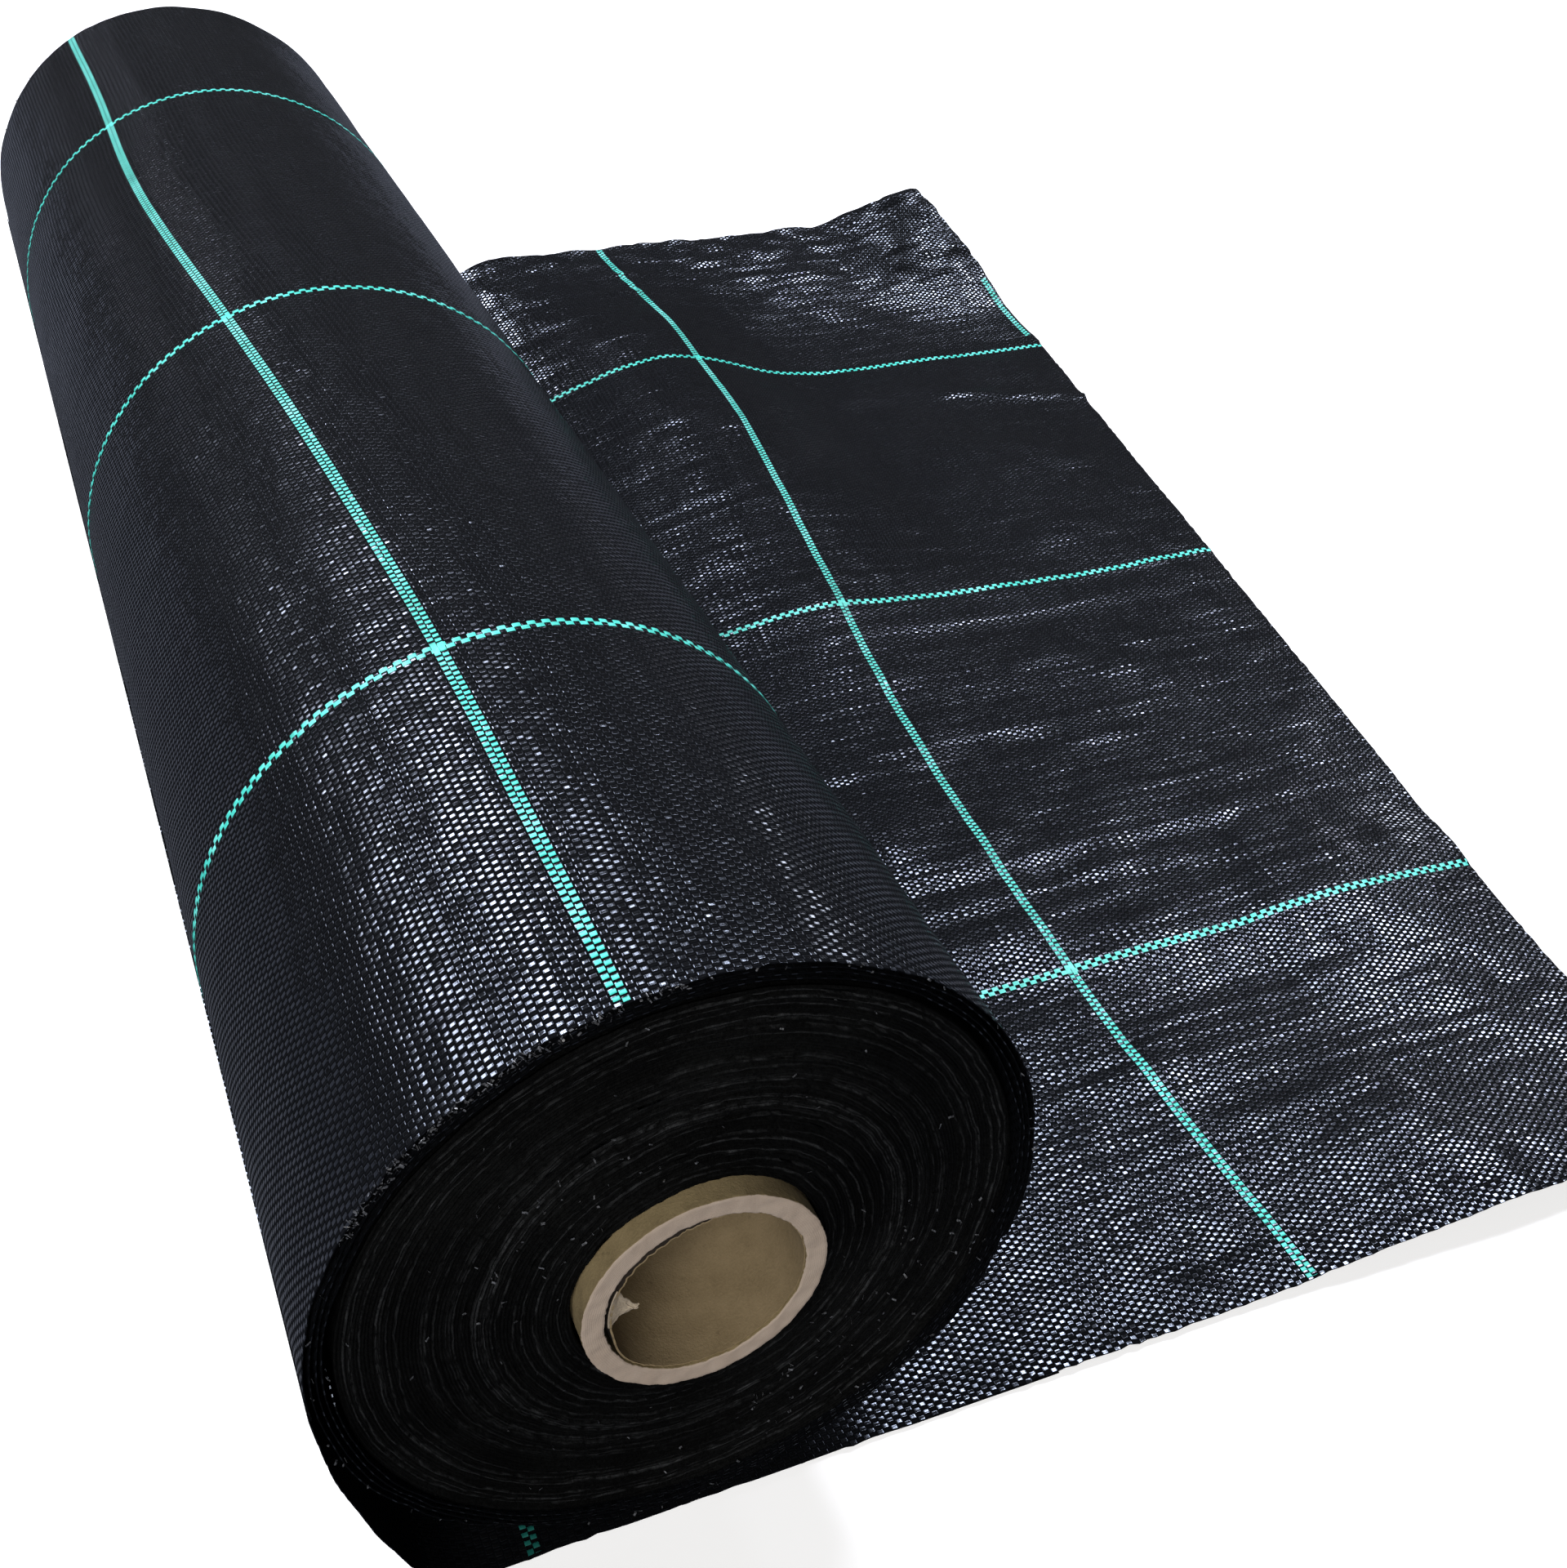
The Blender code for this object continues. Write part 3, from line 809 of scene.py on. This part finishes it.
woven_black = woven_tape_material(
    "woven_black_tape", relief=0.0001, unevenness=0.9, ripple_depth=0.0006
)
outer_turn, outer_weave = woven_cloth(
    "outer_turn",
    outer_turn_columns,
    outer_turn_rows,
    turn_point(0, 1),
    turn_tapes(0, 1),
    woven_black,
)
inner_turns = woven_cloth(
    "inner_loose_turns",
    inner_turn_columns,
    inner_turn_rows,
    turn_point(1, 3),
    turn_tapes(1, 3),
    woven_black,
)[0]
for piece in (outer_turn, inner_turns):
    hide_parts("outer_winding")
    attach(piece, "roll")


# Torn tape ends
# Where the fabric was slit to width, short ends of tape have come loose at both ends of the roll.

chip_width = (0.0003, 0.0006)
chip_length = (0.0005, 0.0015)
chip_thickness = 0.00007
chip_stand = 0.0006
# Pale grey on the torn ends of the black tape: painted glints.
torn_tape_glint_grey = (0.14, 0.145, 0.16)

# Each field: number of chips, end (-1 near), first and last angle in degrees, least and
# greatest radius.
chip_fields = (
    (70, -1, -75, -5, 0.056, 0.092),
    (40, -1, 105, 175, 0.036, 0.062),
    (60, -1, 0, 360, 0.036, 0.092),
    (230, -1, 92, 152, 0.0945, 0.0972),
    (60, -1, 0, 360, 0.0945, 0.097),
    (60, 1, 0, 360, 0.094, 0.097),
)


def add_torn_tape_ends():
    dice = random.Random(4)
    work = bmesh.new()
    for count, end, first, last, least, greatest in chip_fields:
        for number in range(count):
            angle = math.radians(dice.uniform(first, last))
            radius = dice.uniform(least, greatest)
            stand = dice.uniform(-chip_stand, chip_stand)
            place = round_axis(angle, radius, end * (half_width + stand) - slip_at(radius))
            turn = Euler([dice.uniform(-math.pi, math.pi) for axis in range(3)])
            size = (dice.uniform(*chip_width), dice.uniform(*chip_length), chip_thickness, 1)
            seat = Matrix.Translation(place) @ turn.to_matrix().to_4x4() @ Matrix.Diagonal(size)
            bmesh.ops.create_cube(work, size=1, matrix=seat)
    material, shader, add = new_material("torn_tape_ends", 0.2)
    place = add("ShaderNodeTexCoord").outputs["Object"]
    streaks = noise_over(add, place, 1200, 2)
    # Streaks of pale grey over black: painted glints on the torn ends.
    colour = ramp(add, streaks, ((0.35, tape_black), (0.7, torn_tape_glint_grey)))
    link(colour, shader.inputs["Base Color"])
    chips = finished_piece("torn_tape_ends", work, [material])
    for face in chips.data.polygons:
        face.use_smooth = False
    return chips


torn_tape_ends = add_torn_tape_ends()
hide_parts("outer_winding")
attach(torn_tape_ends, "roll")


# Green marker tapes on the roll
# Two warp tapes side by side every 250 mm across the fabric, and two weft tapes at each 250 mm
# along it, woven in with the black: they show in dashes where they pass over.

marker_places = {"near": -0.25, "middle": 0.0, "far": 0.25}
marker_tape_width = 0.0018
weft_tape_width = 0.0017
weft_tape_step = 0.0020
marker_tape_thickness = 0.00006
pair_sides = (-0.5, 0.5)
over_rise = 0.00024
crossing_half = 0.0022
crossing_height = 1.15
green_stops = (0.42, 0.6, 0.82)
marker_greens = ((0.024, 0.43, 0.35), (0.05, 0.64, 0.53), (0.22, 0.84, 0.77))
green_relief = 0.0001

# Heights over one period of a woven tape, as shares of its rise: over, then under.
woven_heights = (0.75, 1, 1, 1, 0.75, -0.25, -1, -0.25)


def marker_material(name, greens):
    """Green polypropylene tape: satin, with drawn streaks along it."""
    material, shader, add = new_material(name, 0.42)
    place = add("ShaderNodeTexCoord").outputs["Object"]
    streaks = noise_over(add, place, 700, 3, 0.6)
    patches = noise_over(add, place, 60, 2)
    half_streaks = calculate(add, "MULTIPLY", streaks, 0.5)
    share = calculate(add, "MULTIPLY_ADD", patches, 0.7, half_streaks)
    link(ramp(add, share, tuple(zip(green_stops, greens))), shader.inputs["Base Color"])
    set_bump(add, shader, streaks, green_relief)
    return material


green_tape = marker_material("green_marker_tape", marker_greens)


def at_crossing(across):
    """True where a weft tape crosses a pair of green warp tapes, and stays on top."""
    side = (across - 0.5) * fabric_width
    return any(abs(side - place) < crossing_half for place in marker_places.values())


def woven_tape(work, weave, spine, periods, width_step, phase, is_weft=False):
    """Adds one marker tape to work. spine(step, off) gives its shares across and along."""
    steps = int(periods * 4)
    before = set(work.verts)
    bmesh.ops.create_grid(work, x_segments=steps, y_segments=2, size=0.5)
    for vertex in [vertex for vertex in work.verts if vertex not in before]:
        step = round((vertex.co.x + 0.5) * steps)
        off = round(vertex.co.y * 2) * width_step
        height = woven_heights[(step + 4 * phase) % len(woven_heights)]
        across, along = spine(step / steps, off)
        if is_weft and at_crossing(across):
            height = crossing_height
        vertex.co = over_cloth(weave, across, along, over_rise * height)


def marker_piece(name, node, work, body, material=green_tape):
    bmesh.ops.recalc_face_normals(work, faces=work.faces)
    piece = finished_piece(name, work, [material])
    thicken(piece, marker_tape_thickness)
    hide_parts(node)
    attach(piece, body)
    return piece


def warp_marker(weave, place, run, first, share):
    """Two warp tapes along a share of the cloth, one over where the other is under."""
    work = bmesh.new()
    for number, pair_side in enumerate(pair_sides):
        across = (place + pair_side * marker_tape_width) / fabric_width + 0.5

        def spine(step, off):
            return across + off / fabric_width, first + share * step

        woven_tape(work, weave, spine, run / weft_pitch, marker_tape_width / 2, number)
    return work


def weft_marker(weave, line, first, last, periods):
    """Two weft tapes between two shares of the width. line(side, off) gives their share along."""
    work = bmesh.new()
    for number, pair_side in enumerate(pair_sides):

        def spine(step, off):
            across = first + (last - first) * step
            side = (across - 0.5) * fabric_width
            return across, line(side, pair_side * weft_tape_step + off)

        woven_tape(work, weave, spine, periods, weft_tape_width / 2, number, is_weft=True)
    return work


def line_round_roll(side, off):
    angle = weft_angle(side) + off / roll_radius
    return (take_off_angle - angle) / (2 * math.pi)


tapes_on_roll = [
    marker_piece(
        "green_tapes_round_roll_" + side,
        "roll_warp_marker_" + side,
        warp_marker(outer_weave, place, 2 * math.pi * roll_radius, 0.003, 0.994),
        "roll",
    )
    for side, place in marker_places.items()
]
tapes_along_roll = weft_marker(
    outer_weave, line_round_roll, 0.001, 0.999, fabric_width / warp_pitch
)
tapes_on_roll.append(
    marker_piece("green_tapes_along_roll", "roll_weft_marker", tapes_along_roll, "roll")
)


# Loose wrap
# The fabric's way from the roll to the floor: it leaves the roll at the left, bellies out and
# runs in under the laid sheet.

fall_reach = 0.045
floor_reach = 0.024
touch_down = 0.053
tail_length = 0.173
wrap_start_radius = roll_radius + 0.00028
wrap_curve_steps = 60
wrap_tail_steps = 14
wrap_rows = 170
wrap_swell = 0.0045
wrap_ripple = 0.0016
wrap_fray = 0.0008


def wrap_line():
    """Points of the loose wrap's middle line, and their distances from its start."""
    out = Vector((math.cos(take_off_angle), 0, math.sin(take_off_angle)))
    start = out * wrap_start_radius + Vector((0, 0, axis_height))
    down = Vector((-out.z, 0, out.x)) * fall_reach
    floor = Vector((-touch_down, 0, cad_thickness / 2))
    controls = (start, start + down, floor - Vector((floor_reach, 0, 0)), floor)
    line = []
    for step in range(wrap_curve_steps + 1):
        share = step / wrap_curve_steps
        rest = 1 - share
        weights = (rest**3, 3 * rest**2 * share, 3 * rest * share**2, share**3)
        line.append(sum((weight * point for weight, point in zip(weights, controls)), Vector()))
    for step in range(1, wrap_tail_steps + 1):
        line.append(floor + Vector((tail_length * step / wrap_tail_steps, 0, 0)))
    distances = [0.0]
    for first, second in zip(line, line[1:]):
        distances.append(distances[-1] + (second - first).length)
    return line, distances


wrap_points, wrap_distances = wrap_line()
wrap_steps = len(wrap_points) - 1


def wrap_step(along):
    """The step of the middle line at a share along it, and the place within that step."""
    step = along * wrap_steps
    index = min(wrap_steps - 1, int(step))
    return index, step - index


def wrap_place(across, along):
    """The loose wrap: its belly swells and sinks a little along the roll."""
    index, part = wrap_step(along)
    point = wrap_points[index].lerp(wrap_points[index + 1], part)
    side = (across - 0.5) * fabric_width
    run = (wrap_points[index + 1] - wrap_points[index]).normalized()
    outward = Vector((run.z, 0, -run.x))
    hang = math.sin(math.pi * min(1, along * wrap_steps / wrap_curve_steps)) ** 2
    swell = grain((side * 7, along * 3, 3), 1, wrap_swell)
    swell += grain((side * 20, along * 6, 8), 1, wrap_ripple)
    point = point + outward * swell * hang
    edge = 0
    if across in (0, 1):
        edge = grain((along * 170, across * 5, 1), 1, wrap_fray)
    point.z = max(point.z, cad_thickness / 2)
    return point + Vector((0, side * (1 - 2 * abs(edge)) + edge, 0))


def wrap_distance(along):
    index, part = wrap_step(along)
    return wrap_distances[index] * (1 - part) + wrap_distances[index + 1] * part


def wrap_tapes(across, along):
    turned = weft_angle((across - 0.5) * fabric_width) - take_off_angle
    run = (roll_radius - cad_thickness / 2) * turned - wrap_distance(along)
    return (across * fabric_width / warp_pitch, run / weft_pitch + 1000)


loose_wrap, wrap_weave = woven_cloth(
    "loose_wrap_cloth", wrap_steps, wrap_rows, wrap_place, wrap_tapes, woven_black, top=-1
)
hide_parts("loose_wrap")
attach(loose_wrap, "loose_wrap")

curved_share = wrap_curve_steps / wrap_steps * 0.985
curved_run = wrap_distance(curved_share)
tapes_on_wrap = [
    marker_piece(
        "green_tapes_down_wrap_" + side,
        "loose_wrap_marker_" + side,
        warp_marker(wrap_weave, place, curved_run, 0.002, curved_share),
        "loose_wrap",
    )
    for side, place in marker_places.items()
]


# Laid sheet
# The free end of the fabric, laid on the floor to the right of the roll. Its far part stands in
# a soft ridge, its long edges lift and its end is cut at a slant.

sheet_length = 0.4
sheet_start = -0.047
sheet_columns = 132
sheet_rows = 260
tail_clearance = 0.0003
rest_height = 0.0011
ridge_height = 0.024
edge_lift = 0.0375
corner_lift = 0.019
near_lift = 0.007
wave_height = 0.0022
rumple_wave = (0.05, 0.0016)
rumple_grain = (0.021, 0.0006)
rumple_fold = (0.045, 0.0011)
far_edge_crinkle = (0.016, 0.0018)
far_edge_wave = (0.036, 0.003)
edge_inset = 0.0003
cut_fray = 0.0007
cut_edge_shares = ((0, 0.935), (0.5, 1.11), (0.82, 1.222), (0.91, 1.212), (1, 1.175))

# The second weft marker's distance from the roll, at distances from the near edge.
weft_line_on_sheet = (
    (0.0, 0.212),
    (0.09, 0.210),
    (0.212, 0.215),
    (0.338, 0.226),
    (0.402, 0.234),
    (0.578, 0.254),
    (0.699, 0.259),
    (0.8, 0.246),
)

# Low waves: middle and half width as shares of the fabric's width, then of the sheet's length.
sheet_waves = (
    (0.5, 0.16, 0.52, 0.14),
    (0.2, 0.14, 0.86, 0.16),
    (0.33, 0.16, 0.45, 0.15),
    (0.62, 0.13, 0.98, 0.2),
)

# Places where the fabric leans: the middle's distance from the roll and side, the half lengths
# the same two ways, and the lean in degrees, towards the near edge where it is positive.
sheet_leans = (
    (0.178, -0.240, 0.036, 0.016, 8),
    (0.252, -0.203, 0.018, 0.008, 8),
    (0.275, -0.190, 0.090, 0.006, 10),
    (0.231, -0.221, 0.012, 0.005, 8),
    (0.290, -0.260, 0.060, 0.024, 6),
    (0.350, -0.300, 0.045, 0.045, 7),
    (0.372, -0.352, 0.030, 0.030, 6),
    (0.210, -0.386, 0.110, 0.009, 3),
    (0.325, -0.026, 0.080, 0.007, 12),
    (0.150, -0.120, 0.050, 0.006, 8),
    (0.300, -0.110, 0.070, 0.006, 7),
    (0.228, -0.328, 0.045, 0.014, -4),
    (0.464, -0.147, 0.035, 0.030, -5),
    (0.398, -0.225, 0.030, 0.020, -5),
    (0.430, -0.290, 0.030, 0.030, -6),
)
crease_start = Vector((0.372, 0.213))
crease_end = Vector((0.520, 0.163))
crease_height = 0.0022
crease_half = 0.009
crease_run_in = 0.04


def leaning(reach, side):
    """Height that the sheet's leaning places give."""
    height = 0
    for middle, middle_side, half_reach, half_side, lean in sheet_leans:
        along = (reach - middle) / half_reach
        across = (side - middle_side) / half_side
        if abs(along) < 2.5 and abs(across) < 2.5:
            slope = math.tan(math.radians(lean)) * (side - middle_side)
            height += slope * math.exp(-along * along - across * across)
    return height


def crease(reach, side):
    run = (crease_end - crease_start).normalized()
    spot = Vector((reach, side)) - crease_start
    shown = smoothstep(0, crease_run_in, spot.dot(run))
    off = abs(spot.x * run.y - spot.y * run.x)
    return shown * crease_height * max(0, 1 - off / crease_half) ** 1.5


def cut_edge(side):
    share = side / fabric_width + 0.5
    return sheet_length * along_table(cut_edge_shares, share)


def rumples(reach_from_roll, side, share):
    """Small unevenness of the cloth, with a crinkled far edge."""
    spot = Vector((reach_from_roll, side, 0.3))
    rumple = grain(spot, *rumple_wave) + grain(spot, *rumple_grain)
    rumple += abs(grain(spot * 1.9, *rumple_fold))
    along_edge = (reach_from_roll, 3 * side, 5)
    crinkle = grain(along_edge, *far_edge_crinkle) + grain(along_edge, *far_edge_wave)
    return max(0, rumple + smoothstep(0.86, 1, share) * abs(crinkle))


def sheet_height(reach_from_roll, side):
    """Height of the middle of the laid fabric, with its ridge, its lifted edges and waves."""
    share = side / fabric_width + 0.5
    reach = reach_from_roll / sheet_length
    tail_end = (tail_length - touch_down) / sheet_length
    over_tail = 1 - smoothstep(tail_end, tail_end + 0.1, reach)
    height = cad_thickness / 2 + over_tail * (cad_thickness + tail_clearance)
    ridge = ridge_height * bump(0.59, 0.25, reach) * smoothstep(0.35, 0.8, share)
    ridge *= 1 - smoothstep(0.83, 1, share)
    lift = edge_lift * smoothstep(0.8, 1.08, share)
    corner = corner_lift * smoothstep(0.98, 1.17, reach) * smoothstep(0.84, 1, share)
    near = near_lift * smoothstep(0.42, 0.75, reach) * fading(0.16, share)
    wave = sum(
        bump(middle, half, share) * bump(reach_middle, reach_half, reach)
        for middle, half, reach_middle, reach_half in sheet_waves
    )
    shape = ridge + lift + corner + near + wave_height * wave
    shape += rumples(reach_from_roll, side, share)
    leans = rest_height + leaning(reach_from_roll, side) + crease(reach_from_roll, side)
    leans = max(0, smoothstep(0.22, 0.36, reach) * leans)
    return height + smoothstep(0.28, 0.45, reach) * shape + leans


def sheet_place(across, along):
    side = (across - 0.5) * fabric_width
    reach = sheet_start + (cut_edge(side) - sheet_start) * along
    edge = 0
    if across in (0, 1):
        edge = grain((reach * 260, across * 5, 1), 1, edge_fray) - edge_inset
    if along == 1:
        reach += grain((side * 300, 4, 1), 1, cut_fray)
    return Vector((reach, side + edge, sheet_height(reach, side)))


def sheet_tapes(across, along):
    side = (across - 0.5) * fabric_width
    reach = sheet_start + (cut_edge(side) - sheet_start) * along
    run = reach - smoothed(weft_line_on_sheet, side)
    return (across * fabric_width / warp_pitch, run / weft_pitch + 500)


smooth_woven_black = woven_tape_material(
    "smooth_woven_black_tape", relief=0.00006, unevenness=0.5, ripple_depth=0.0011
)
laid_sheet, sheet_weave = woven_cloth(
    "laid_fabric", sheet_columns, sheet_rows, sheet_place, sheet_tapes, smooth_woven_black
)
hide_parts("laid_sheet")
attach(laid_sheet, "laid_out_sheet")


# Green marker tapes on the sheet
# The warp pairs run on from the roll. Of the weft pairs, one lies under the roll, darker green
# there as painted shade; one crosses the sheet and a short stretch of the last one is left at the
# cut.

# Darker greens for the weft pair under the roll: painted shade.
painted_shade_greens = ((0.003, 0.05, 0.042), (0.006, 0.09, 0.075), (0.012, 0.14, 0.12))
under_roll_reach = -0.042
cut_end_inset = 0.0036


def line_on_sheet(reach_at):
    """Gives a weft tape's share along the sheet, from its marker's distance from the roll."""

    def line(side, off):
        return (reach_at(side) + off - sheet_start) / (cut_edge(side) - sheet_start)

    return line


tapes_on_sheet = [
    marker_piece(
        "green_tapes_on_sheet_" + side,
        "sheet_warp_marker_" + side,
        warp_marker(sheet_weave, place, cut_edge(place) - sheet_start, 0.002, 0.997),
        "laid_out_sheet",
    )
    for side, place in marker_places.items()
]
# Material for the weft pair under the roll, with painted shade in its greens.
painted_shade_green_tape = marker_material("painted_shade_green_marker_tape", painted_shade_greens)

# Each weft marker: its distance from the roll, first and last share of the width, material.
weft_markers = {
    "under_roll": (lambda side: under_roll_reach, 0.001, 0.999, painted_shade_green_tape),
    "middle": (partial(smoothed, weft_line_on_sheet), 0.001, 0.999, green_tape),
    "cut_end": (lambda side: cut_edge(side) - cut_end_inset, 0.828, 0.9, green_tape),
}
for name, (reach_at, first, last, material) in weft_markers.items():
    periods = (last - first) * fabric_width / warp_pitch
    work = weft_marker(sheet_weave, line_on_sheet(reach_at), first, last, periods)
    piece_name, node = "green_tapes_across_sheet_" + name, "sheet_weft_marker_" + name
    tapes_on_sheet.append(marker_piece(piece_name, node, work, "laid_out_sheet", material))


# Studio
# A plain white floor, small soft lights behind the roll that make the tapes glint, a broad one
# in front and a faint even surround. The camera stands where the photograph was taken.

floor_size = 5
floor_grey = (0.13, 0.14, 0.165)
floor_shown = (0.78, 0.78, 0.79)
floor_glow = 0.45
surround_light = 0.045
surround_shown = 1.0
lights_aim = Vector((0.1, -0.2, 0.1))
front_light_colour = (1.0, 0.98, 0.95)
back_light_colour = (0.88, 0.9, 1.0)
camera_place = (-0.1276, -0.6903, 0.4911)
camera_turns = (57.5134, -3.0473, -22.7996)
camera_focal_length = 44.28
camera_sensor_width = 36
camera_shift = (0.01615, -0.10355)
camera_near_limit = 0.01

# Each light: turn from straight behind, height angle, distance, size, power.
studio_lights = {
    "back_left_light": (-25, 44, 4.0, (1.1, 0.6), 115),
    "back_light": (7, 51, 4.0, (0.6, 0.5), 34),
    "back_right_light": (40, 52, 4.0, (0.6, 0.45), 46),
    "right_light": (58, 43, 4.0, (0.7, 0.45), 64),
    "low_right_light": (54, 20, 4.0, (0.5, 0.5), 14),
    "left_light": (-46, 29, 4.0, (1.0, 0.7), 60),
    "front_light": (212, 32, 4.6, (2.6, 2.0), 190),
}


def add_floor():
    work = bmesh.new()
    bmesh.ops.create_grid(work, x_segments=1, y_segments=1, size=floor_size / 2)
    material, shader, add = new_material("white_floor", 0.9)
    ray = add("ShaderNodeLightPath").outputs["Is Camera Ray"]
    link(blend_colours(add, ray, floor_grey, floor_shown), shader.inputs["Base Color"])
    shader.inputs["Specular IOR Level"].default_value = 0
    shader.inputs["Emission Color"].default_value = (1, 1, 1, 1)
    link(calculate(add, "MULTIPLY", ray, floor_glow), shader.inputs["Emission Strength"])
    return finished_piece("floor", work, [material])


def add_soft_light(name, turn, height_angle, reach, size, power):
    turn, rise = math.radians(turn), math.radians(height_angle)
    level = Vector((math.sin(turn), math.cos(turn), 0)) * math.cos(rise)
    place = lights_aim + (level + Vector((0, 0, math.sin(rise)))) * reach
    lamp = bpy.data.lights.new(name, "AREA")
    lamp.shape = "RECTANGLE"
    lamp.size, lamp.size_y = size
    lamp.energy = power
    lamp.color = front_light_colour if name == "front_light" else back_light_colour
    light = bpy.data.objects.new(name, lamp)
    light.location = place
    light.rotation_euler = (lights_aim - place).to_track_quat("-Z", "Y").to_euler()
    bpy.context.scene.collection.objects.link(light)


def add_surround():
    """Even white all round: bright to the camera, faint as a light."""
    world = bpy.data.worlds.new("studio")
    bpy.context.scene.world = world
    world.use_nodes = True
    nodes = world.node_tree.nodes
    background = nodes["Background"]
    background.inputs["Color"].default_value = (1, 1, 1, 1)
    strength = nodes.new("ShaderNodeMapRange")
    strength.inputs["To Min"].default_value = surround_light
    strength.inputs["To Max"].default_value = surround_shown
    link(nodes.new("ShaderNodeLightPath").outputs["Is Camera Ray"], strength.inputs["Value"])
    link(strength.outputs["Result"], background.inputs["Strength"])


def add_camera():
    camera_data = bpy.data.cameras.new("camera")
    camera_data.sensor_fit = "HORIZONTAL"
    camera_data.sensor_width = camera_sensor_width
    camera_data.lens = camera_focal_length
    camera_data.shift_x, camera_data.shift_y = camera_shift
    camera_data.clip_start = camera_near_limit
    camera = bpy.data.objects.new("camera", camera_data)
    camera.location = camera_place
    camera.rotation_euler = [math.radians(turn) for turn in camera_turns]
    bpy.context.scene.collection.objects.link(camera)
    bpy.context.scene.camera = camera


add_floor()
for name, settings in studio_lights.items():
    add_soft_light(name, *settings)
add_surround()
add_camera()
bpy.context.scene.view_settings.view_transform = "Standard"
